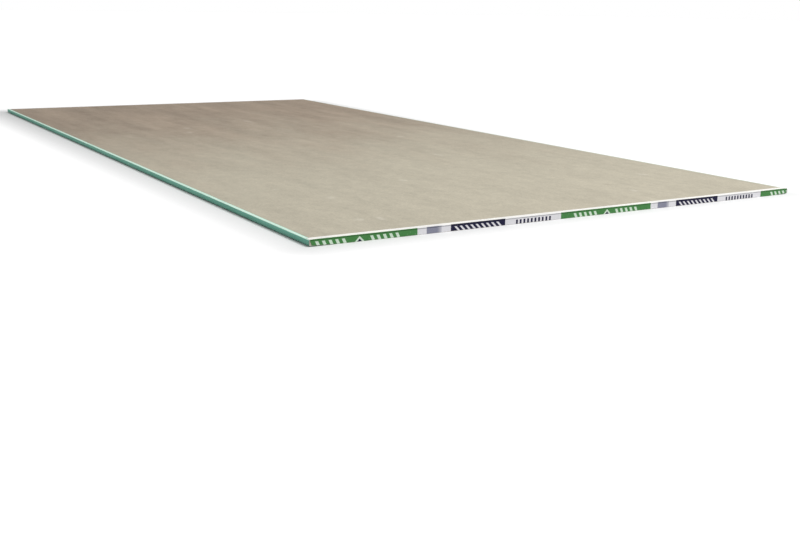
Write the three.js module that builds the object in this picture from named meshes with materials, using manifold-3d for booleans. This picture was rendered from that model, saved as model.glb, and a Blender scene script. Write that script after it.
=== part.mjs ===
// A moisture-resistant drywall sheet, 1/2 in x 4 ft x 8 ft, lying face down with its back up, as it is
// stored: one tapered-edge board, and a printed paper tape folded over each cut end.
//
// Millimetres. +X runs along the sheet, +Y across it and +Z up. The origin is under the middle of the
// sheet, on the plane that its face lies on.

import * as THREE from "three";
import { mergeVertices } from "three/addons/utils/BufferGeometryUtils.js";
import Module from "manifold-3d";

// The board.
const BOARD_LENGTH = 2438.4;
const BOARD_WIDTH = 1219.2;
const BOARD_THICKNESS = 12.7;
const TAPER_WIDTH = 64; // how far in from each long edge the face starts to thin
const TAPER_DEPTH = 1.6; // how much thinner the board is at the long edge
const FACE_ROUNDING = 2.2; // the paper's soft turn from the face onto the long edge
const BACK_ROUNDING = 1.4; // and from the long edge onto the back
const LAP_WIDTH = 8; // face paper left bare on the back, beside the edge of the back paper
const BACK_PAPER = 0.3; // how far the back paper stands above that lap

// The end tapes. Each was slit level with the face, and keeps the half that sticks to this board.
const TAPE_THICKNESS = 0.3;
const TAPE_LAP = 14; // how far the tape reaches onto the back
const TAPE_GLUE = 0.1; // the glue line under the tape
const TAPE_SIDE_INSET = 2; // the end of the board left bare beside each long edge
const TAPE_SLIT_HEIGHT = 0.6; // the slit edge's height above the face
const TAPE_FOLD_RADIUS = 0.35; // outside of the fold

const CURVE_STEPS = 8; // straight steps in each rounding

const wasm = await Module();
wasm.setup();

// three.js geometry to a manifold-3d solid and back, for the one cut that the tapes need.
function toSolid(geometry) {
  const bare = geometry.clone();
  bare.deleteAttribute("normal");
  bare.deleteAttribute("uv");
  const merged = mergeVertices(bare);
  return new wasm.Manifold(
    new wasm.Mesh({
      numProp: 3,
      vertProperties: merged.attributes.position.array,
      triVerts: new Uint32Array(merged.index.array),
    }),
  );
}

function toGeometry(solid) {
  const mesh = solid.getMesh();
  const geometry = new THREE.BufferGeometry();
  geometry.setAttribute("position", new THREE.BufferAttribute(mesh.vertProperties, mesh.numProp));
  geometry.setIndex(new THREE.BufferAttribute(mesh.triVerts, 1));
  geometry.computeVertexNormals();
  return geometry;
}

// A shape drawn in the YZ plane (its x is Y, its y is Z), extruded along X from one X to another.
function extrudeAlongX(shape, fromX, toX) {
  const geometry = new THREE.ExtrudeGeometry(shape, {
    depth: toX - fromX,
    bevelEnabled: false,
    curveSegments: CURVE_STEPS,
  });
  const axes = new THREE.Matrix4().makeBasis(
    new THREE.Vector3(0, 1, 0),
    new THREE.Vector3(0, 0, 1),
    new THREE.Vector3(1, 0, 0),
  );
  return geometry.applyMatrix4(axes).translate(fromX, 0, 0);
}

// A shape drawn in the XZ plane, extruded along Y and centred on the XZ plane.
function extrudeAlongY(shape, length) {
  const geometry = new THREE.ExtrudeGeometry(shape, {
    depth: length,
    bevelEnabled: false,
    curveSegments: CURVE_STEPS,
  });
  return geometry.rotateX(Math.PI / 2).translate(0, length / 2, 0);
}

// A closed outline from the points of its +Y half, which run from the bottom up.
function mirroredOutline(points) {
  const mirrored = points.map((point) => new THREE.Vector2(-point.x, point.y)).reverse();
  return new THREE.Shape([...points, ...mirrored]);
}

// The board's cross-section. The face paper runs round both long edges and a little way onto the back,
// where the back paper's edge makes a small step.
function boardSection() {
  const edge = BOARD_WIDTH / 2;
  const lapLevel = BOARD_THICKNESS - BACK_PAPER;
  const taperSlope = TAPER_DEPTH / TAPER_WIDTH;
  const half = new THREE.Path();
  half.moveTo(edge - TAPER_WIDTH, 0);
  half.lineTo(edge - FACE_ROUNDING, TAPER_DEPTH - taperSlope * FACE_ROUNDING);
  half.quadraticCurveTo(edge, TAPER_DEPTH, edge, TAPER_DEPTH + FACE_ROUNDING);
  half.lineTo(edge, lapLevel - BACK_ROUNDING);
  half.quadraticCurveTo(edge, lapLevel, edge - BACK_ROUNDING, lapLevel);
  half.lineTo(edge - LAP_WIDTH, lapLevel);
  half.lineTo(edge - LAP_WIDTH, BOARD_THICKNESS);
  return mirroredOutline(half.getPoints(CURVE_STEPS));
}

function boardGeometry() {
  return extrudeAlongX(boardSection(), -BOARD_LENGTH / 2, BOARD_LENGTH / 2);
}

// The tape's angle section at the +X end: the lap on the back and the drop down the cut end.
function tapeSection() {
  const innerX = BOARD_LENGTH / 2 + TAPE_GLUE;
  const outerX = innerX + TAPE_THICKNESS;
  const innerZ = BOARD_THICKNESS + TAPE_GLUE;
  const outerZ = innerZ + TAPE_THICKNESS;
  const lapX = BOARD_LENGTH / 2 - TAPE_LAP;
  const section = new THREE.Shape();
  section.moveTo(innerX, 0);
  section.lineTo(outerX, 0);
  section.lineTo(outerX, outerZ - TAPE_FOLD_RADIUS);
  section.quadraticCurveTo(outerX, outerZ, outerX - TAPE_FOLD_RADIUS, outerZ);
  section.lineTo(lapX, outerZ);
  section.lineTo(lapX, innerZ);
  section.lineTo(innerX, innerZ);
  return section;
}

// What the knife left of the tape, seen along X: its lower edge follows the face and its tapers.
function tapeOutline() {
  const side = BOARD_WIDTH / 2 - TAPE_SIDE_INSET;
  const taperStart = BOARD_WIDTH / 2 - TAPER_WIDTH;
  const taperRise = (TAPER_DEPTH * Math.max(side - taperStart, 0)) / TAPER_WIDTH;
  const top = BOARD_THICKNESS + TAPE_GLUE + 2 * TAPE_THICKNESS;
  return mirroredOutline([
    new THREE.Vector2(Math.min(taperStart, side - TAPE_THICKNESS), TAPE_SLIT_HEIGHT),
    new THREE.Vector2(side, TAPE_SLIT_HEIGHT + taperRise),
    new THREE.Vector2(side, top),
  ]);
}

function tapeGeometry() {
  const fromX = BOARD_LENGTH / 2 - 2 * TAPE_LAP;
  const toX = BOARD_LENGTH / 2 + 2 * TAPE_LAP;
  const folded = toSolid(extrudeAlongY(tapeSection(), BOARD_WIDTH));
  const knifeLimit = toSolid(extrudeAlongX(tapeOutline(), fromX, toX));
  return toGeometry(folded.intersect(knifeLimit));
}

function material(color, roughness) {
  return new THREE.MeshStandardMaterial({ color, roughness, metalness: 0 });
}

function mesh(name, geometry, look) {
  const piece = new THREE.Mesh(geometry, look);
  piece.name = name;
  return piece;
}

const boardPaper = material(0xb3aa97, 0.9);
const tapePaper = material(0xdcd8d2, 0.75);

const drywallSheet = new THREE.Group();
drywallSheet.add(mesh("sheet", boardGeometry(), boardPaper));

const nearTape = mesh("end_tape_near", tapeGeometry(), tapePaper);
const farTape = mesh("end_tape_far", tapeGeometry(), tapePaper);
farTape.rotation.z = Math.PI;
drywallSheet.add(nearTape, farTape);

export default drywallSheet;
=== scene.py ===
"""A moisture-resistant drywall sheet, stored back up: the board, its two slit end tapes and its looks.

Metres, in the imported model's frame: +X along the sheet, +Y across it, +Z up, and z = 0 is the floor.
"""

import math

import bpy
import numpy as np
from mathutils import Matrix, Vector, noise


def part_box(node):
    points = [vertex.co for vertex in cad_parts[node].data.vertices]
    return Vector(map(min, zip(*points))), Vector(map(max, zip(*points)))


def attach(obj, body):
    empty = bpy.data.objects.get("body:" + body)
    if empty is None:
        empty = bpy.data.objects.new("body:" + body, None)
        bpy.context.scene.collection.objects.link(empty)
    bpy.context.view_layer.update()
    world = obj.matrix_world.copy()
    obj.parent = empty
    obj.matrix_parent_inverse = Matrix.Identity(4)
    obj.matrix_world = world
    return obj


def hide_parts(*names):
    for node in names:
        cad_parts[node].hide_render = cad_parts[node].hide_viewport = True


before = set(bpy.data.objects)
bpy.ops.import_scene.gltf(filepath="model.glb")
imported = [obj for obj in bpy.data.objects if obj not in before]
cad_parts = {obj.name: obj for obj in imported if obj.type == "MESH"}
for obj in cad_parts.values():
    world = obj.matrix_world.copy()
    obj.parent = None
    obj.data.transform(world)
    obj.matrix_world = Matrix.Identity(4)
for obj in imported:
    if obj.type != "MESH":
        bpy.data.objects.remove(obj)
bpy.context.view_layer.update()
MM = 0.001

# ---------------------------------------------------------------------------------------------------
# Sizes. The overall ones come from the frame; the profile's own are the board's, as in its source.

END_X, EDGE_Y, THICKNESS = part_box("sheet")[1]
TAPER_WIDTH = 64 * MM
TAPER_DEPTH = 1.6 * MM
FACE_ROUNDING = 2.2 * MM
BACK_ROUNDING = 1.4 * MM
LAP_WIDTH = 8 * MM  # face paper turned onto the back
BACK_PAPER = 0.3 * MM  # how far the back paper stands above that lap

tape_low, tape_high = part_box("end_tape_near")
TAPE_LAP_X, TAPE_SLIT_Z = tape_low.x, tape_low.z
TAPE_OUTER_X, TAPE_SIDE_Y, TAPE_TOP_Z = tape_high
TAPE_THICKNESS = 0.3 * MM

MID_Z = THICKNESS / 2
LAP_Z = THICKNESS - BACK_PAPER
TAPER_SLOPE = TAPER_DEPTH / TAPER_WIDTH
TAPER_START = EDGE_Y - TAPER_WIDTH
STEP_Y = EDGE_Y - LAP_WIDTH  # the edge of the back paper


# ---------------------------------------------------------------------------------------------------
# Helpers for meshes.

SEED_STEP = 17.3  # how far apart two seeds read the noise


def wander(x, y, z, seed):
    """Smooth noise from about -1 to 1. x, y and z are metres times the waves to a metre."""
    return noise.noise(Vector((x, y, z + SEED_STEP * seed)))


def bulges(kind, x, y, z, seed):
    """Single bulges with 0 between them. kind is their height for each 1 of noise above a level, and
    that level."""
    height, level = kind
    return height * max(0.0, wander(x, y, z, seed) - level)


def smooth(value):
    """A smooth step from 0 at 0 to 1 at 1."""
    share = min(1.0, max(0.0, value))
    return share * share * (3 - 2 * share)


def tube_faces(rings, points):
    """Quads round a tube, from the number of its rings and of the points in each ring."""
    faces = []
    for i in range(rings - 1):
        here, there = i * points, (i + 1) * points
        for j in range(points):
            k = (j + 1) % points
            faces.append((here + j, here + k, there + k, there + j))
    return faces


def distinct(corners):
    """A face's corners without any that repeats the one before, as where a quad narrows to a triangle."""
    return [corner for n, corner in enumerate(corners) if corner != corners[n - 1]]


def add_mesh(name, vertices, faces, materials, face_materials=None):
    """A smooth-shaded mesh object at the origin, from points in metres."""
    mesh = bpy.data.meshes.new(name)
    mesh.from_pydata([tuple(point) for point in vertices], [], faces)
    for material in materials:
        mesh.materials.append(material)
    if face_materials is not None:
        mesh.polygons.foreach_set("material_index", np.asarray(face_materials, dtype=np.int32))
    mesh.polygons.foreach_set("use_smooth", [True] * len(mesh.polygons))
    mesh.validate()
    mesh.update()
    piece = bpy.data.objects.new(name, mesh)
    bpy.context.scene.collection.objects.link(piece)
    return piece


def finish_piece(piece, slot, *replaced):
    """Rides the piece on the sheet and hides the CAD nodes that it stands for."""
    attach(piece, "root")
    if replaced:
        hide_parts(*replaced)


# ---------------------------------------------------------------------------------------------------
# Helpers for materials.

EVEN = (1, 1, 1)
MIX_SHARE, MIX_FIRST, MIX_SECOND, MIX_RESULT = 0, 6, 7, 2  # numbers of a Mix node's sockets for colours


def srgb(red, green, blue):
    """A colour as seen on screen, 0 to 255, in the linear values that a shader takes."""

    def linear(level):
        share = level / 255
        return share / 12.92 if share <= 0.04045 else ((share + 0.055) / 1.055) ** 2.4

    return (linear(red), linear(green), linear(blue), 1.0)


def connect(tree, value, socket):
    """Links a field to a socket, or sets a plain value on it."""
    if isinstance(value, Field):
        tree.links.new(value.socket, socket)
    else:
        socket.default_value = value


def calculate(tree, operation, *terms):
    """A Math node over fields and plain numbers."""
    node = tree.nodes.new("ShaderNodeMath")
    node.operation = operation
    for term, socket in zip(terms, node.inputs):
        connect(tree, term, socket)
    return Field(tree, node.outputs[0])


class Field:
    """A value that varies over a surface: a node's output, used like a number."""

    def __init__(self, tree, socket):
        self.tree = tree
        self.socket = socket

    def __add__(self, other):
        return calculate(self.tree, "ADD", self, other)

    def __sub__(self, other):
        return calculate(self.tree, "SUBTRACT", self, other)

    def __rsub__(self, other):
        return calculate(self.tree, "SUBTRACT", other, self)

    def __mul__(self, other):
        return calculate(self.tree, "MULTIPLY", self, other)

    def __truediv__(self, other):
        return calculate(self.tree, "DIVIDE", self, other)

    def __abs__(self):
        return calculate(self.tree, "ABSOLUTE", self)

    def sign(self):
        return calculate(self.tree, "SIGN", self)

    def larger(self, other):
        return calculate(self.tree, "MAXIMUM", self, other)

    def repeated(self, period):
        """Counts from 0 up to the period, over and over."""
        return calculate(self.tree, "WRAP", self, period, 0.0)

    def to_and_fro(self, reach):
        """Counts from 0 up to the reach and back, over and over."""
        return calculate(self.tree, "PINGPONG", self, reach)

    def diagonal(self, other):
        """The long side of the right-angled triangle on this side and another."""
        squares = [calculate(self.tree, "POWER", side, 2.0) for side in (self, other)]
        return calculate(self.tree, "SQRT", squares[0] + squares[1])

    def ramp(self, low, high, start=0.0, end=1.0):
        """A smooth step from start to end, between two levels of the field."""
        node = self.tree.nodes.new("ShaderNodeMapRange")
        node.interpolation_type = "SMOOTHSTEP"
        connect(self.tree, self, node.inputs["Value"])
        for name, level in zip(("From Min", "From Max", "To Min", "To Max"), (low, high, start, end)):
            node.inputs[name].default_value = level
        return Field(self.tree, node.outputs["Result"])

    def above(self, level, soft):
        """1 above a level and 0 below it, with a soft edge."""
        return self.ramp(level - soft, level + soft)

    def below(self, level, soft):
        """1 below a level and 0 above it, with a soft edge."""
        return self.ramp(level - soft, level + soft, 1.0, 0.0)

    def band(self, low, high, soft):
        """1 between two levels and 0 outside, with soft edges."""
        return self.above(low, soft) * self.below(high, soft)


class Shader:
    """A node material under construction. Its x, y and z are the object's own, in metres."""

    def __init__(self, name, roughness, specular):
        self.material = bpy.data.materials.new(name)
        self.material.use_nodes = True
        self.tree = self.material.node_tree
        self.bsdf = self.tree.nodes["Principled BSDF"]
        self.bsdf.inputs["Roughness"].default_value = roughness
        self.bsdf.inputs["Specular IOR Level"].default_value = specular
        self.place = self.tree.nodes.new("ShaderNodeTexCoord").outputs["Object"]
        split = self.tree.nodes.new("ShaderNodeSeparateXYZ")
        self.tree.links.new(self.place, split.inputs[0])
        self.x, self.y, self.z = (Field(self.tree, output) for output in split.outputs)

    def texture(self, kind, scale, stretch, shift):
        """A texture node. stretch scales each axis, and shift gives another part of the pattern."""
        mapping = self.tree.nodes.new("ShaderNodeMapping")
        mapping.inputs["Scale"].default_value = stretch
        mapping.inputs["Location"].default_value = (0.0, 0.0, shift)
        self.tree.links.new(self.place, mapping.inputs["Vector"])
        node = self.tree.nodes.new(kind)
        self.tree.links.new(mapping.outputs[0], node.inputs["Vector"])
        node.inputs["Scale"].default_value = scale
        return node

    def noise(self, scale, stretch=EVEN, shift=0.0, detail=3, roughness=0.55, distortion=0.0):
        """Cloudy noise about 0.5."""
        node = self.texture("ShaderNodeTexNoise", scale, stretch, shift)
        node.inputs["Detail"].default_value = detail
        node.inputs["Roughness"].default_value = roughness
        node.inputs["Distortion"].default_value = distortion
        return Field(self.tree, node.outputs[0])

    def cells(self, scale):
        """The distance from the nearest of many scattered points."""
        node = self.texture("ShaderNodeTexVoronoi", scale, EVEN, 0.0)
        return Field(self.tree, node.outputs["Distance"])

    def mix(self, share, first, second, blend="MIX"):
        """The first colour, with a share of the second laid over it."""
        node = self.tree.nodes.new("ShaderNodeMix")
        node.data_type = "RGBA"
        node.blend_type = blend
        for number, value in ((MIX_SHARE, share), (MIX_FIRST, first), (MIX_SECOND, second)):
            connect(self.tree, value, node.inputs[number])
        return Field(self.tree, node.outputs[MIX_RESULT])

    def bump(self, height, distance, strength, onto=None):
        """A normal that follows a height, on top of another normal if one is given."""
        node = self.tree.nodes.new("ShaderNodeBump")
        node.inputs["Strength"].default_value = strength
        node.inputs["Distance"].default_value = distance
        connect(self.tree, height, node.inputs["Height"])
        if onto is not None:
            connect(self.tree, onto, node.inputs["Normal"])
        return Field(self.tree, node.outputs[0])

    def finish(self, colour, normal, roughness=None):
        """Sets what the surface shows, and returns the material."""
        connect(self.tree, colour, self.bsdf.inputs["Base Color"])
        connect(self.tree, normal, self.bsdf.inputs["Normal"])
        if roughness is not None:
            connect(self.tree, roughness, self.bsdf.inputs["Roughness"])
        return self.material


def swing(texture, amount):
    """A texture's difference from its middle, times an amount: as much above 0 as below."""
    return (texture - 0.5) * amount


# ---------------------------------------------------------------------------------------------------
# Materials of the board.

# Pale scuffs and darker smudges on the back, each as a place (x, y), a length and a width, in metres.
SCUFFS = (
    (-0.389, -0.219, 0.048, 0.022),
    (-0.289, -0.255, 0.036, 0.018),
    (-0.506, 0.040, 0.070, 0.026),
    (0.054, 0.302, 0.032, 0.022),
    (0.434, 0.183, 0.034, 0.018),
    (0.748, -0.447, 0.022, 0.013),
    (0.761, -0.132, 0.024, 0.015),
    (0.883, -0.385, 0.022, 0.018),
    (0.929, 0.449, 0.026, 0.022),
    (1.090, 0.263, 0.024, 0.018),
    (1.106, -0.446, 0.018, 0.020),
    (1.115, -0.405, 0.026, 0.015),
)
SMUDGES = (
    (-0.895, -0.021, 0.070, 0.030),
    (-0.597, 0.252, 0.050, 0.030),
    (-0.536, -0.035, 0.056, 0.024),
    (-0.130, -0.072, 0.040, 0.020),
    (1.003, 0.265, 0.022, 0.016),
)
# On the cut ends, how far in from the outside the papers' edges show, and where plain gypsum starts.
PAPER_DEPTH = 0.6 * MM
CORE_DEPTH = 0.9 * MM


def back_paper():
    """Grey-brown recycled paper: clouds, drifts and streaks along the roll, mottle, fibres and scuffs."""
    s = Shader("back_paper", roughness=0.9, specular=0.25)
    brown, olive = srgb(166, 150, 133), srgb(186, 179, 161)
    pale_fibre, dark_fibre = srgb(212, 206, 190), srgb(122, 108, 92)
    rubbed_paper, dirt_and_shade = srgb(220, 215, 202), srgb(132, 118, 104)
    clouds = s.noise(3.4, (1, 1.9, 1), shift=4.27, detail=4)
    streaks = s.noise(2.4, (1, 9, 1), detail=5, roughness=0.62)
    patches = s.noise(7, (1, 2.6, 1), detail=4, roughness=0.6)
    drifts = s.noise(1.8, (1, 4.2, 1), shift=5.81, detail=1)
    mottle = s.noise(33, (1, 1.3, 1), detail=5, roughness=0.68)
    grain = s.noise(220, detail=4, roughness=0.7)

    # The colour goes from brown at the far end to olive-grey at the near end: partly the paper's own tone,
    # partly painted shade where the far end gets less light.
    tone_and_shade = s.x * 0.55 + s.y * 0.05 + swing(clouds, 0.6)
    colour = s.mix(tone_and_shade.ramp(-0.52, 0.46), brown, olive)

    # The long patterns are stronger towards the far end.
    shade = swing(streaks, s.x.ramp(-0.9, 0.5, 0.47, 0.24))
    shade += swing(patches, s.x.ramp(-0.9, 0.9, 0.3, 0.1))
    shade += swing(drifts, s.x.ramp(-0.9, 0.5, 0.55, 0.12))
    shade += swing(mottle, 0.38)
    shade += swing(grain, 0.52)
    colour = s.mix(1.0, colour, shade + 1.0, "MULTIPLY")

    # Single fibres and specks, pale and dark.
    specks = s.noise(420, (1, 2.4, 1), detail=1)
    colour = s.mix(specks.ramp(0.66, 0.76, 0.0, 0.5), colour, pale_fibre)
    colour = s.mix(specks.ramp(0.24, 0.34, 0.4, 0.0), colour, dark_fibre)

    # Scuffs, which show more towards the near end, and smudges. The mottle breaks up both.
    broken = mottle.ramp(0.40, 0.60, 0.35, 1.0)
    scuffs = marks(s, SCUFFS) * (broken * s.x.ramp(-0.4, 0.6, 0.22, 0.42))
    smudges = marks(s, SMUDGES) * (broken * 0.3)
    colour = s.mix(scuffs, colour, rubbed_paper)
    colour = s.mix(smudges, colour, dirt_and_shade)

    fibre = s.noise(900, (1, 2.2, 1), detail=3, roughness=0.65)
    normal = s.bump(fibre, 0.12 * MM, 0.5)
    normal = s.bump(streaks, 0.5 * MM, 0.25, onto=normal)
    return s.finish(colour, normal, fibre.ramp(0.2, 0.8, 0.82, 0.96))


def marks(s, places):
    """1 in the middle of each mark, falling to 0 at its edge, with a ragged outline."""
    ragged = swing(s.noise(90, (1, 1.6, 1), detail=4), 1.1)
    shown = 0.0
    for x, y, length, width in places:
        along = (s.x - x) / (length / 2)
        across = (s.y - y) / (width / 2)
        reach = along.diagonal(across) + ragged
        shown = reach.ramp(0.3, 1.6, 1.0, 0.0).larger(shown)
    return shown


def face_paper():
    """Green face paper: almost even on the face, streaked on the long edges, with painted shade making
    them darker towards their bottom.
    """
    s = Shader("face_paper", roughness=0.62, specular=0.35)
    green, light_green = srgb(100, 171, 150), srgb(113, 183, 162)
    pale_streak, dark_streak = srgb(128, 184, 160), srgb(64, 122, 103)
    lower_edge_shade, worn_paper = srgb(62, 114, 96), srgb(160, 204, 184)

    on_edge = abs(s.y).ramp(EDGE_Y - 4 * MM, EDGE_Y - 1 * MM)
    strength = on_edge.ramp(0.0, 1.0, 0.3, 1.0)
    streaks = s.noise(1.4, (3, 60, 260), detail=4, roughness=0.6)
    mottle = s.noise(2.0, (2.5, 2.5, 30), detail=4)
    colour = s.mix(mottle.ramp(0.3, 0.7), green, light_green)
    colour = s.mix(streaks.ramp(0.52, 0.70, 0.0, 0.4) * strength, colour, pale_streak)
    colour = s.mix(streaks.ramp(0.30, 0.46, 0.55, 0.0) * strength, colour, dark_streak)
    # Painted shade: the long edges are darker towards the floor.
    colour = s.mix(s.z.ramp(3 * MM, 11.5 * MM, 0.5, 0.0) * on_edge, colour, lower_edge_shade)
    wear = s.noise(1.0, (30, 60, 60), detail=4).ramp(0.62, 0.74)
    colour = s.mix(wear * (strength * 0.25), colour, worn_paper)
    grain = s.noise(1100, detail=2)
    return s.finish(colour, s.bump(grain, 0.06 * MM, 0.4), grain.ramp(0.2, 0.8, 0.55, 0.7))


def highlit_lap_paper():
    """The strip of face paper that is turned onto the back, painted pale mint: partly the paper's own
    lighter green, partly a painted highlight where the fold faces up.
    """
    s = Shader("highlit_lap_paper", roughness=0.7, specular=0.3)
    # The mint is far paler than the face paper's green: partly a painted highlight of the top-lit fold.
    mint, pale_mint = srgb(200, 236, 218), srgb(220, 246, 232)
    blot, grey_lap = srgb(150, 200, 176), srgb(182, 186, 166)

    streaks = s.noise(1.2, (4, 240, 1), detail=4)
    colour = s.mix(streaks.ramp(0.3, 0.7), mint, pale_mint)
    blots = s.noise(1.0, (14, 60, 1), detail=3).ramp(0.62, 0.76)
    colour = s.mix(blots * 0.35, colour, blot)
    # The lap on the +Y side is greyer.
    colour = s.mix(s.y.ramp(-0.3, 0.3, 0.0, 0.75), colour, grey_lap)
    grain = s.noise(1100, detail=2)
    return s.finish(colour, s.bump(grain, 0.06 * MM, 0.4))


def gypsum_core():
    """The cut end: pale crumbly gypsum between the edges of the two papers."""
    s = Shader("gypsum_core", roughness=0.95, specular=0.15)
    gypsum, pale_gypsum, pit_shade = srgb(176, 170, 158), srgb(222, 218, 208), srgb(140, 130, 116)
    back_paper_edge, face_paper_edge = srgb(128, 108, 86), srgb(86, 132, 112)

    pits = s.cells(900)
    grain = s.noise(1500, detail=4, roughness=0.7)
    colour = s.mix(grain.ramp(0.3, 0.7), gypsum, pale_gypsum)
    # Painted shade: darker in the pits, which are the hollows of the bump.
    colour = s.mix(pits.ramp(0.0, 0.28, 0.45, 0.0), colour, pit_shade)
    ragged = swing(grain, 0.5 * MM)
    papers = ((s.z, THICKNESS, back_paper_edge), (abs(s.y), EDGE_Y, face_paper_edge))
    for place, outside, paper in papers:
        share = (place + ragged).ramp(outside - CORE_DEPTH, outside - PAPER_DEPTH)
        colour = s.mix(share, colour, paper)
    return s.finish(colour, s.bump(pits + grain, 0.5 * MM, 0.8))


# ---------------------------------------------------------------------------------------------------
# Material of the tapes. The print is plain blocks in one repeat along the tape, each with a simple motif.
# It is as high as the pair that the tape once joined, so the slit cuts through every motif.

PRINT_REPEAT = 0.575
PRINT_START = -0.892  # where a repeat starts, across the near end
NAVY_BLOCK = (0.000, 0.125)  # from and to, within the repeat, as for the next ones
TICKS_START = 0.1485
GREEN_BLOCK = (0.262, 0.502)
LILAC_BLOCK = (0.522, 0.555)
LILAC_FADE = (0.544, 0.558)
INK_EDGE = 0.3 * MM  # how softly the ink ends
MOTIF_TOP_Z = 8.8 * MM


def tape_print(s, repeat):
    """Where each ink goes: the green block's pale ground, lilac, navy and green."""
    motif_height = s.z.below(MOTIF_TOP_Z, INK_EDGE)

    def block(span):
        return repeat.band(*span, INK_EDGE)

    def bar_row(start, count, pitch, width, slant):
        """A row of whole bars, each in the middle of its pitch. A slant of 1 leans them by 45 degrees."""
        place = repeat - start + s.z * slant
        bars = place.repeated(pitch).band((pitch - width) / 2, (pitch + width) / 2, INK_EDGE)
        return bars * place.band(0.0, count * pitch, INK_EDGE) * motif_height

    def diamond(centre, half):
        """The upper half of a diamond whose middle is level with the floor."""
        return (abs(repeat - centre) + s.z).below(half, INK_EDGE)

    # Navy block: a row of white slanting bars.
    navy_bars = bar_row(NAVY_BLOCK[0] + 13 * MM, count=9, pitch=12 * MM, width=5 * MM, slant=1.0)
    navy = block(NAVY_BLOCK) * (1.0 - navy_bars)
    # White field with a row of navy ticks.
    ticks = bar_row(TICKS_START, count=10, pitch=9 * MM, width=4.6 * MM, slant=0.0)
    # Green block: a row of white slanting bars, broken in the middle by a white diamond with a navy heart.
    middle = sum(GREEN_BLOCK) / 2
    left_bars = bar_row(GREEN_BLOCK[0] + 33 * MM, count=5, pitch=13 * MM, width=6 * MM, slant=0.5)
    right_bars = bar_row(middle + 22 * MM, count=5, pitch=13 * MM, width=6 * MM, slant=0.5)
    motif = left_bars.larger(right_bars).larger(diamond(middle, 10 * MM))
    green = block(GREEN_BLOCK) * (1.0 - motif)
    heart = diamond(middle, 5.5 * MM)
    # Lilac-grey block of fine stripes, which fades to one side.
    stripes = repeat.to_and_fro(1.1 * MM).ramp(0.3 * MM, 0.8 * MM, 0.75, 1.0)
    lilac = block(LILAC_BLOCK) * (stripes * repeat.ramp(*LILAC_FADE, 1.0, 0.25))
    return block(GREEN_BLOCK), lilac, navy.larger(ticks).larger(heart), green


def tape_paper():
    """White printed paper tape. The print has green, navy and lilac-grey blocks, and no lettering."""
    s = Shader("tape_paper", roughness=0.6, specular=0.15)
    lap_white, shaded_drop_white, slub_grey = srgb(247, 245, 239), srgb(231, 230, 234), srgb(218, 218, 220)
    green_ground, green_ink = srgb(214, 232, 214), srgb(72, 132, 72)
    lilac_ink, navy_ink, dirt_and_shade = srgb(118, 120, 143), srgb(26, 26, 58), srgb(30, 40, 30)

    on_drop = abs(s.x).ramp(END_X - 0.2 * MM, END_X + 0.15 * MM)
    slub = s.noise(1.0, (1, 40, 40), detail=3)
    # The drop, the same paper as the lap, is painted greyer and a little lilac: painted shade of the end
    # face beside the top-lit lap.
    colour = s.mix(on_drop, lap_white, shaded_drop_white)
    colour = s.mix(slub.ramp(0.35, 0.65) * 0.35, colour, slub_grey)

    # The print reads the same way round on both ends, on the drop alone, and its inks are a little worn.
    repeat = (s.y * s.x.sign() - PRINT_START).repeated(PRINT_REPEAT)
    ground, lilac, navy, green = tape_print(s, repeat)
    worn = s.noise(1.0, (1, 300, 300), detail=4, roughness=0.7).ramp(0.28, 0.40, 0.72, 1.0)
    inked = on_drop * worn
    colour = s.mix(ground * on_drop, colour, green_ground)
    colour = s.mix(lilac * inked, colour, lilac_ink)
    colour = s.mix(navy * inked, colour, navy_ink)
    colour = s.mix(green * inked, colour, green_ink)

    # Painted shade: a dark line on the drop just under the fold, for the shadow of the crease.
    crease_shade = s.z.band(TAPE_TOP_Z - 2.6 * MM, TAPE_TOP_Z - 0.9 * MM, 0.3 * MM)
    colour = s.mix(crease_shade * (on_drop * 0.5), colour, dirt_and_shade, "MULTIPLY")

    puckers = s.noise(1.0, (1, 60, 18), detail=4, distortion=1.5)
    grain = s.noise(1300, detail=3)
    normal = s.bump(puckers, 0.5 * MM, 0.35)
    normal = s.bump(grain, 0.04 * MM, 0.4, onto=normal)
    return s.finish(colour, normal, grain.ramp(0.2, 0.8, 0.48, 0.66))


# ---------------------------------------------------------------------------------------------------
# The board. Its section is a row of columns from edge to edge, each from the face up to the back.

FLAT_COLUMNS = 12  # on half of the face's flat part
TAPER_COLUMNS = 10  # from there to the edge of the back paper
STEP_FOOT = (0.05 * MM, 0.02 * MM)  # the next column, just outside that edge: on the face and on the back
LAP_SHARES = (0.35, 0.7, 1.0)  # of the way over the lap to the roundings
TURN_STEPS = 8  # round the roundings
EDGE_SHARES = (0.3, 0.65, 1.0)  # of the way from the roundings to mid-height on the long edge
CAP_SHARES = (0.05, 0.14, 0.3, 0.5, 0.7, 0.86, 0.95)  # of the height, for the rows on the cut ends
MIDDLE_STATIONS = 421
END_ZONE = 30 * MM  # at each cut end, where the stations are closer together
END_STATIONS = (24, 19, 15, 12, 9.5, 7.5, 6, 4.5, 3.2, 2.2, 1.3, 0.6, 0)  # mm in from the cut end
BACK_SLOT, FACE_SLOT, LAP_SLOT, CORE_SLOT = range(4)  # the board's materials
LAP_TOP_Z = LAP_Z + 0.02 * MM  # what is higher is back paper
LAP_BOTTOM_Z = LAP_Z - 0.4 * BACK_ROUNDING  # the lap's pale colour ends part of the way round the rounding
ARRIS_ANGLE = math.radians(40)  # edges sharper than this aren't shaded smooth

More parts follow.
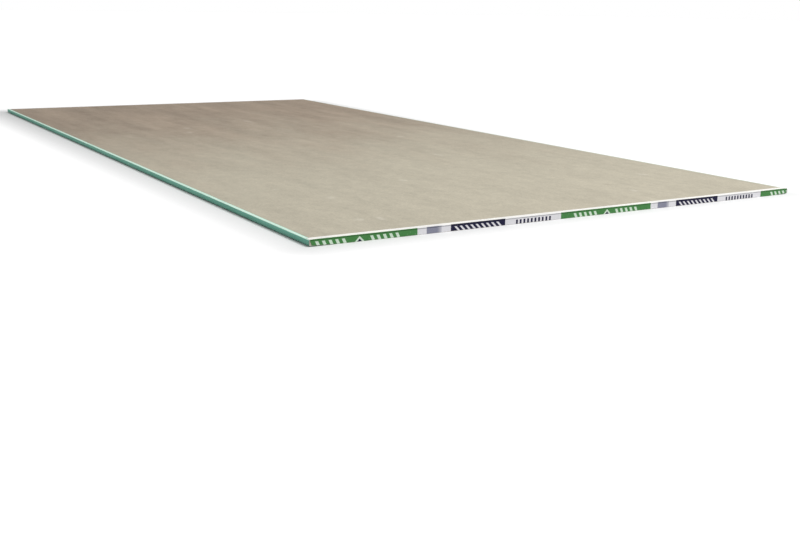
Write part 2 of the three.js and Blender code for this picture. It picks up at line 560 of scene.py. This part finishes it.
# Unevenness and wear, as about the furthest that they move a point.
STEP_WANDER = 0.45 * MM  # the edge of the back paper
EDGE_WAVE = 0.12 * MM  # the long edges
EDGE_RIPPLE = 0.05 * MM
EDGE_KNOCKS = (2.4 * MM, 0.5)  # single bulges
BACK_WAVE = 0.06 * MM
CUT_ROUGHNESS = 0.25 * MM  # the outline of the cut ends
CORE_ROUGHNESS = 0.5 * MM  # the gypsum between the papers
CORE_SINK = 0.1 * MM
STEP_SEED, WAVE_SEED, RIPPLE_SEED, KNOCK_SEED, BACK_SEED, CUT_SEED, CORE_SEED = range(1, 8)
EDGE_WEAR_WIDTH = 6 * MM  # how far in from a long edge its waves and knocks reach
EDGE_WEAR_Z = 0.5 * MM  # they leave what is lower than this
AT_LINE = 0.1 * MM  # a point closer than this is on the step, or on the cut end


def face_height(y):
    """Height of the face above the floor, at a place across the board."""
    return TAPER_SLOPE * max(0.0, abs(y) - TAPER_START)


def half_columns():
    """Half of the section as columns, each a point (y, z) of the face and one of the back.

    The last column is one point, halfway up the long edge."""
    columns = [((y, 0.0), (y, THICKNESS)) for y in np.linspace(0.0, TAPER_START, FLAT_COLUMNS)]
    for y in np.linspace(TAPER_START, STEP_Y, TAPER_COLUMNS)[1:]:
        columns.append(((y, face_height(y)), (y, THICKNESS)))
    columns.append(((STEP_Y + STEP_FOOT[0], face_height(STEP_Y)), (STEP_Y + STEP_FOOT[1], LAP_Z)))
    for share in LAP_SHARES:
        face_y = STEP_Y + share * (EDGE_Y - FACE_ROUNDING - STEP_Y)
        back_y = STEP_Y + share * (EDGE_Y - BACK_ROUNDING - STEP_Y)
        columns.append(((face_y, face_height(face_y)), (back_y, LAP_Z)))
    for i in range(1, TURN_STEPS + 1):
        angle = 0.5 * math.pi * i / TURN_STEPS
        out, up = math.sin(angle), 1 - math.cos(angle)
        face_point = (EDGE_Y - FACE_ROUNDING * (1 - out), TAPER_DEPTH + FACE_ROUNDING * up)
        back_point = (EDGE_Y - BACK_ROUNDING * (1 - out), LAP_Z - BACK_ROUNDING * up)
        columns.append((face_point, back_point))
    face_turned, back_turned = face_point[1], back_point[1]
    for share in EDGE_SHARES:
        face_z = face_turned + share * (MID_Z - face_turned)
        back_z = back_turned + share * (MID_Z - back_turned)
        columns.append(((EDGE_Y, face_z), (EDGE_Y, back_z)))
    return columns


def section_columns():
    """The whole section's columns, from the -Y edge to the +Y edge."""
    half = half_columns()
    mirrored = [tuple((-y, z) for y, z in column) for column in half[:0:-1]]
    return mirrored + half


def length_stations():
    """Places along the sheet, closer together towards the cut ends."""
    middle = np.linspace(-1, 1, MIDDLE_STATIONS) * (END_X - END_ZONE)
    end = END_X - np.array(END_STATIONS) * MM
    return np.concatenate([-end[::-1], middle, end])


def uneven(x, y, z):
    """A point of the ideal board with the real one's slow waves, knocked arrises and crumbled ends."""
    edge_gap = EDGE_Y - abs(y)
    side = math.copysign(1, y)
    if abs(edge_gap - LAP_WIDTH) < AT_LINE and z > MID_Z:
        y += side * STEP_WANDER * wander(x * 9, side, 0, STEP_SEED)
    if edge_gap < EDGE_WEAR_WIDTH and z > EDGE_WEAR_Z:
        wave = EDGE_WAVE * wander(x * 6, side, z * 40, WAVE_SEED)
        ripple = EDGE_RIPPLE * wander(x * 40, side, z * 90, RIPPLE_SEED)
        knock = bulges(EDGE_KNOCKS, x * 14, side * 3, z * 60, KNOCK_SEED)
        y -= side * (wave + ripple + knock) * (1 - edge_gap / EDGE_WEAR_WIDTH)
    if z > MID_Z:
        z += BACK_WAVE * wander(x * 3, y * 5, 0, BACK_SEED)
    if END_X - abs(x) < AT_LINE:
        x -= math.copysign(CUT_ROUGHNESS * abs(wander(z * 600, y * 300, x, CUT_SEED)), x)
    return (x, y, z)


def side_slot(start, end):
    """Which paper covers the strip between two points of the section."""
    z = (start[1] + end[1]) / 2
    if z > LAP_TOP_Z:
        return BACK_SLOT
    if z > LAP_BOTTOM_Z:
        return LAP_SLOT
    return FACE_SLOT


def end_cap(columns, first, x, vertices):
    """Quads over a cut end, on the section's own columns, with rough rows between face and back."""
    last = len(columns) - 1
    ring_size = 2 * last
    grid = []
    for i, (face_point, back_point) in enumerate(columns):
        face_vertex = first + i
        if i in (0, last):
            grid.append([face_vertex] * (len(CAP_SHARES) + 2))
            continue
        column = [face_vertex]
        for share in CAP_SHARES:
            y = face_point[0] + share * (back_point[0] - face_point[0])
            z = face_point[1] + share * (back_point[1] - face_point[1])
            rough = CORE_ROUGHNESS * abs(wander(y * 230, z * 420, x, CORE_SEED))
            column.append(len(vertices))
            vertices.append((x - math.copysign(CORE_SINK + rough, x), y, z))
        column.append(first + ring_size - i)
        grid.append(column)
    faces = []
    for left, right in zip(grid, grid[1:]):
        for row in range(len(left) - 1):
            corners = distinct([left[row], right[row], right[row + 1], left[row + 1]])
            faces.append(tuple(corners if x > 0 else corners[::-1]))
    return faces


def make_board(core):
    """The board as one closed skin, with the papers and the core on their own faces."""
    columns = section_columns()
    ring = [column[0] for column in columns] + [column[1] for column in columns[-2:0:-1]]
    stations = length_stations()
    vertices = [uneven(x, y, z) for x in stations for y, z in ring]
    faces = tube_faces(len(stations), len(ring))
    slots = [side_slot(start, end) for start, end in zip(ring, ring[1:] + ring[:1])] * (len(stations) - 1)
    for first, x in ((0, -END_X), ((len(stations) - 1) * len(ring), END_X)):
        faces += end_cap(columns, first, x, vertices)
    slots += [CORE_SLOT] * (len(faces) - len(slots))
    board = add_mesh("board", vertices, faces, [back_paper(), face_paper(), highlit_lap_paper(), core], slots)
    board.data.set_sharp_from_angle(angle=ARRIS_ANGLE)
    finish_piece(board, "board_paper", "sheet")


# ---------------------------------------------------------------------------------------------------
# The end tapes. Each is a row of sections, which run from the lap's edge over the fold to the slit.

LAP_POINTS = 8
FOLD_RADIUS = 0.6 * MM
FOLD_STEPS = 5
DROP_POINTS = 10
MIDDLE_PLACES = 501
TORN_LENGTH = 22 * MM  # at each end of the tape, where the places are closer together
TORN_PLACES = (0, 0.4, 0.9, 1.5, 2.2, 3, 4, 5.2, 6.6, 8.2, 10, 12.2, 14.8, 18)  # mm in from the end
TORN_FROM = 0.62  # the share of the section's length at which the deep tear starts
CREASE_ANGLE = math.radians(50)  # edges sharper than this aren't shaded smooth

# Unevenness, as about the furthest that it moves a point, and single bulges.
LAP_EDGE_WAVE = 0.7 * MM
LAP_EDGE_RIPPLE = 0.15 * MM
SLIT_WAVE = 0.25 * MM
SLIT_RIPPLE = 0.12 * MM
LAP_PUCKERS = (0.5 * MM, 0.25)
DROP_PUCKERS = (0.7 * MM, 0.2)
LOOSE_SLIT = (1.2 * MM, 0.3)
TORN_WAVE = 0.7 * MM
TORN_RIPPLE = 0.45 * MM
STEP_SLOPE = 1.5 * MM  # over this much width the tape comes down the step of the back paper


def tape_path(y, seed):
    """The tape's outer line at one place along it, as points of (x, z) and the way out of the tape."""
    lap_edge = TAPE_LAP_X + LAP_EDGE_WAVE * wander(y * 7, 0, 0, seed)
    lap_edge += LAP_EDGE_RIPPLE * wander(y * 150, 0, 0, seed)
    slit = TAPE_SLIT_Z + face_height(y)
    slit += SLIT_WAVE * wander(y * 22, 3, 0, seed) + SLIT_RIPPLE * wander(y * 240, 3, 0, seed)
    top = TAPE_TOP_Z - BACK_PAPER * smooth((abs(y) - STEP_Y) / STEP_SLOPE)
    fold_x, fold_z = TAPE_OUTER_X - FOLD_RADIUS, top - FOLD_RADIUS
    path = []
    for share in np.linspace(0, 1, LAP_POINTS):
        x = lap_edge + share * (fold_x - lap_edge)
        pucker = bulges(LAP_PUCKERS, y * 24, x * 90, 0, seed) * math.sin(math.pi * share)
        path.append((x, top + pucker, 0, 1))
    for i in range(1, FOLD_STEPS):
        angle = 0.5 * math.pi * i / FOLD_STEPS
        out, up = math.sin(angle), math.cos(angle)
        path.append((fold_x + FOLD_RADIUS * out, fold_z + FOLD_RADIUS * up, out, up))
    for share in np.linspace(0, 1, DROP_POINTS):
        z = fold_z + share * (slit - fold_z)
        pucker = bulges(DROP_PUCKERS, y * 18, 5, z * 110, seed) * math.sin(math.pi * share)
        loose = bulges(LOOSE_SLIT, y * 9, 9, 0, seed) * share**3
        path.append((TAPE_OUTER_X + pucker + loose, z, 1, 0))
    return path


def tape_places():
    """Places along a tape, closer together at its torn ends."""
    torn = np.array(TORN_PLACES) * MM
    middle = np.linspace(-1, 1, MIDDLE_PLACES) * (TAPE_SIDE_Y - TORN_LENGTH)
    return np.concatenate([torn - TAPE_SIDE_Y, middle, TAPE_SIDE_Y - torn[::-1]])


def torn_back(share, side, depth, seed):
    """How far the tape is torn back at one of its ends. share is 0 at the lap's edge and 1 at the slit."""
    wave = TORN_WAVE * abs(wander(share * 9, side * 5, 0, seed))
    ripple = TORN_RIPPLE * abs(wander(share * 41, side * 5, 0, seed))
    return wave + ripple + depth * smooth((share - TORN_FROM) / (1 - TORN_FROM))


def tape_ring(y, seed, tear):
    """The tape's section at one place along it: out along the outer line, and back along the inner one."""
    path = tape_path(y, seed)
    side = math.copysign(1, y)
    fade = max(0.0, 1 - (TAPE_SIDE_Y - abs(y)) / TORN_LENGTH) ** 2
    outer, inner = [], []
    for n, (x, z, out, up) in enumerate(path):
        torn_y = y - side * fade * torn_back(n / (len(path) - 1), side, tear, seed)
        outer.append((x, torn_y, z))
        inner.append((x - out * TAPE_THICKNESS, torn_y, z - up * TAPE_THICKNESS))
    return outer + inner[::-1]


def make_tape(name, node, paper, end, seed, tears):
    """One half tape. end is +1 for the near end and -1 for the far one.

    tears has the depth of the tear at the tape's -Y and +Y ends, before it is turned to its own end."""
    rings = [tape_ring(y, seed, tears[int(y > 0)]) for y in tape_places()]
    count = len(rings[0])
    vertices = [(end * x, end * y, z) for ring in rings for x, y, z in ring]
    faces = tube_faces(len(rings), count)
    last = (len(rings) - 1) * count
    for j in range(count // 2 - 1):
        k = count - 1 - j
        faces.append((k, k - 1, j + 1, j))
        faces.append((last + j, last + j + 1, last + k - 1, last + k))
    tape = add_mesh(name, vertices, faces, [paper])
    tape.data.set_sharp_from_angle(angle=CREASE_ANGLE)
    finish_piece(tape, "tape_paper", node)


# ---------------------------------------------------------------------------------------------------
# Crumbs of gypsum on the four bare corners of the cut ends.

CORNERS = ((1, -1), (1, 1), (-1, -1), (-1, 1))
CORNER_CRUMBS = 6
CRUMB_SEED = 40
CRUMB_SIZE = 0.55 * MM
CRUMB_MORE = 0.45 * MM  # how much larger some are
CRUMB_EDGE_GAP = 1.5 * MM  # in from the long edge
CRUMB_LOW_Z = 4.2 * MM
CRUMB_PITCH_Z = 1.35 * MM
CRUMB_SCATTER_Y = 0.8 * MM
CRUMB_SCATTER_Z = 0.6 * MM
CRUMB_RINGS = 6
CRUMB_SPOKES = 9
CRUMB_WAVES = 1.7  # in a lump's uneven outline


def make_crumbs(core):
    """Small lumps that stick to the core between each tape's ends and the long edges."""
    vertices, faces = [], []
    for corner, (end, side) in enumerate(CORNERS):
        for lump in range(CORNER_CRUMBS):
            seed = CRUMB_SEED + CORNER_CRUMBS * corner + lump
            size = CRUMB_SIZE + CRUMB_MORE * abs(wander(1.3, 2.1, 0, seed))
            y = side * (EDGE_Y - CRUMB_EDGE_GAP - CRUMB_SCATTER_Y * wander(5.1, 0.7, 0, seed))
            z = CRUMB_LOW_Z + CRUMB_PITCH_Z * lump + CRUMB_SCATTER_Z * wander(2.2, 8.4, 0, seed)
            add_lump(vertices, faces, Vector((end * END_X, y, z)), size, seed)
    crumbs = add_mesh("corner_crumbs", vertices, faces, [core])
    finish_piece(crumbs, "board_paper")


def add_lump(vertices, faces, centre, size, seed):
    """Adds one uneven closed lump: rings of spokes between two poles."""
    first = len(vertices)
    for ring in range(CRUMB_RINGS + 1):
        tip = math.pi * ring / CRUMB_RINGS
        for spoke in range(1 if ring in (0, CRUMB_RINGS) else CRUMB_SPOKES):
            turn = 2 * math.pi * spoke / CRUMB_SPOKES
            way = Vector((math.sin(tip) * math.cos(turn), math.sin(tip) * math.sin(turn), math.cos(tip)))
            waves = wander(way.x * CRUMB_WAVES, way.y * CRUMB_WAVES, way.z * CRUMB_WAVES, seed)
            reach = size * (0.85 + 0.45 * waves)
            vertices.append(centre + way * reach)
    last = len(vertices) - 1

    def vertex(ring, spoke):
        if ring == 0:
            return first
        if ring == CRUMB_RINGS:
            return last
        return first + 1 + (ring - 1) * CRUMB_SPOKES + spoke % CRUMB_SPOKES

    for ring in range(CRUMB_RINGS):
        for spoke in range(CRUMB_SPOKES):
            corners = [vertex(ring, spoke), vertex(ring + 1, spoke)]
            corners += [vertex(ring + 1, spoke + 1), vertex(ring, spoke + 1)]
            faces.append(tuple(distinct(corners)))


# ---------------------------------------------------------------------------------------------------
# Stage, light and camera.

FLOOR_REACH = 40.0
SHADOW_REACH = 0.16  # how far from the sheet its shadow shows best
SHADOW_WHITE = 0.45  # the share of white that the floor has there
WHITE_REACH = 1.0  # how far from the sheet the floor is all white
WHITE = (1.0, 1.0, 1.0, 1.0)
PALE_FLOOR = (0.85, 0.85, 0.85, 1.0)
SKY_STRENGTH = 0.45
WHITE_STRENGTH = 1.0  # at which a background looks white


def seen_directly(tree):
    """1 for the rays that show a thing or its reflection, and 0 for those that light other things."""
    path = tree.nodes.new("ShaderNodeLightPath")
    kinds = ("Is Camera Ray", "Is Glossy Ray", "Is Transmission Ray")
    camera, glossy, transmission = (Field(tree, path.outputs[kind]) for kind in kinds)
    return camera.larger(glossy).larger(transmission)


def make_floor():
    """A pale floor, white to the camera away from the sheet, which keeps the sheet's shadow."""
    corners = [(FLOOR_REACH * x, FLOOR_REACH * y, 0) for x, y in ((-1, -1), (1, -1), (1, 1), (-1, 1))]
    floor = add_mesh("floor", corners, [(0, 1, 2, 3)], [floor_paint()])


def floor_paint():
    """Pale paint with a white of its own, which grows with the distance from the sheet, so that the floor
    is greyer all round the sheet: its real shadow, and a painted shadow too.
    """
    s = Shader("floor_paint", roughness=0.9, specular=0.1)
    s.bsdf.inputs["Base Color"].default_value = PALE_FLOOR
    past_end = (abs(s.x) - END_X).larger(0.0)
    past_edge = (abs(s.y) - EDGE_Y).larger(0.0)
    gap = past_end.diagonal(past_edge)
    away = gap.ramp(0.0, SHADOW_REACH, 0.0, SHADOW_WHITE)
    away += gap.ramp(SHADOW_REACH, WHITE_REACH, 0.0, 1 - SHADOW_WHITE)
    glow = s.tree.nodes.new("ShaderNodeEmission")
    glow.inputs["Color"].default_value = WHITE
    connect(s.tree, seen_directly(s.tree) * away, glow.inputs["Strength"])
    both = s.tree.nodes.new("ShaderNodeAddShader")
    s.tree.links.new(s.bsdf.outputs[0], both.inputs[0])
    s.tree.links.new(glow.outputs[0], both.inputs[1])
    s.tree.links.new(both.outputs[0], s.tree.nodes["Material Output"].inputs["Surface"])
    return s.material


def make_light():
    """A plain studio: an even sky that looks white, and one large soft lamp above the near end."""
    world = bpy.data.worlds.new("studio")
    bpy.context.scene.world = world
    world.use_nodes = True
    tree = world.node_tree
    sky = tree.nodes["Background"]
    white = tree.nodes.new("ShaderNodeBackground")
    for background, strength in ((sky, SKY_STRENGTH), (white, WHITE_STRENGTH)):
        background.inputs["Color"].default_value = WHITE
        background.inputs["Strength"].default_value = strength
    pick = tree.nodes.new("ShaderNodeMixShader")
    connect(tree, seen_directly(tree), pick.inputs[0])
    tree.links.new(sky.outputs[0], pick.inputs[1])
    tree.links.new(white.outputs[0], pick.inputs[2])
    tree.links.new(pick.outputs[0], tree.nodes["World Output"].inputs["Surface"])
    add_lamp("key", place=Vector((2.2, 0.9, 3.4)), target=Vector((0.5, 0.0, 0.0)), size=2.2, power=101)


def add_lamp(name, place, target, size, power):
    """A round area lamp that shines on a target."""
    data = bpy.data.lights.new(name, "AREA")
    data.shape = "DISK"
    data.size = size
    data.energy = power
    lamp = bpy.data.objects.new(name, data)
    lamp.location = place
    lamp.rotation_euler = (target - place).to_track_quat("-Z", "Y").to_euler()
    bpy.context.scene.collection.objects.link(lamp)


# The camera stands off the near corner, as a fit to the sheet's four top corners gives it.
PICTURE_WIDTH = 800  # pixels
PICTURE_HEIGHT = 533
FOCAL_PIXELS = 1046.8
CENTRE_PIXEL = (360.0, 200.0)  # where the lens axis meets the cropped picture
SENSOR_WIDTH = 36  # millimetres
CAMERA_FROM_CORNER = Vector((1.548, -0.793, 0.3917))  # from the near top corner, in metres
CAMERA_HEADING = math.radians(60.042)
CAMERA_TILT = math.radians(79.52)
CAMERA_ROLL = math.radians(0.885)


def make_camera():
    """The camera off the near corner, with a lens shift for the picture's crop."""
    data = bpy.data.cameras.new("camera")
    data.sensor_width = SENSOR_WIDTH
    data.lens = data.sensor_width * FOCAL_PIXELS / PICTURE_WIDTH
    data.shift_x = (PICTURE_WIDTH / 2 - CENTRE_PIXEL[0]) / PICTURE_WIDTH
    data.shift_y = (CENTRE_PIXEL[1] - PICTURE_HEIGHT / 2) / PICTURE_WIDTH
    camera = bpy.data.objects.new("camera", data)
    turn = Matrix.Rotation(CAMERA_HEADING, 4, "Z") @ Matrix.Rotation(CAMERA_TILT, 4, "X")
    turn = turn @ Matrix.Rotation(CAMERA_ROLL, 4, "Z")
    corner = Vector((END_X, -EDGE_Y, THICKNESS))
    camera.matrix_world = Matrix.Translation(corner + CAMERA_FROM_CORNER) @ turn
    bpy.context.scene.collection.objects.link(camera)
    bpy.context.scene.camera = camera


make_camera()
bare_core = gypsum_core()
make_board(bare_core)
make_crumbs(bare_core)
printed_paper = tape_paper()
make_tape("tape_near", "end_tape_near", printed_paper, end=1, seed=21, tears=(3.4 * MM, 1.2 * MM))
make_tape("tape_far", "end_tape_far", printed_paper, end=-1, seed=22, tears=(1.6 * MM, 2.2 * MM))
make_floor()
make_light()
bpy.context.scene.view_settings.view_transform = "Standard"
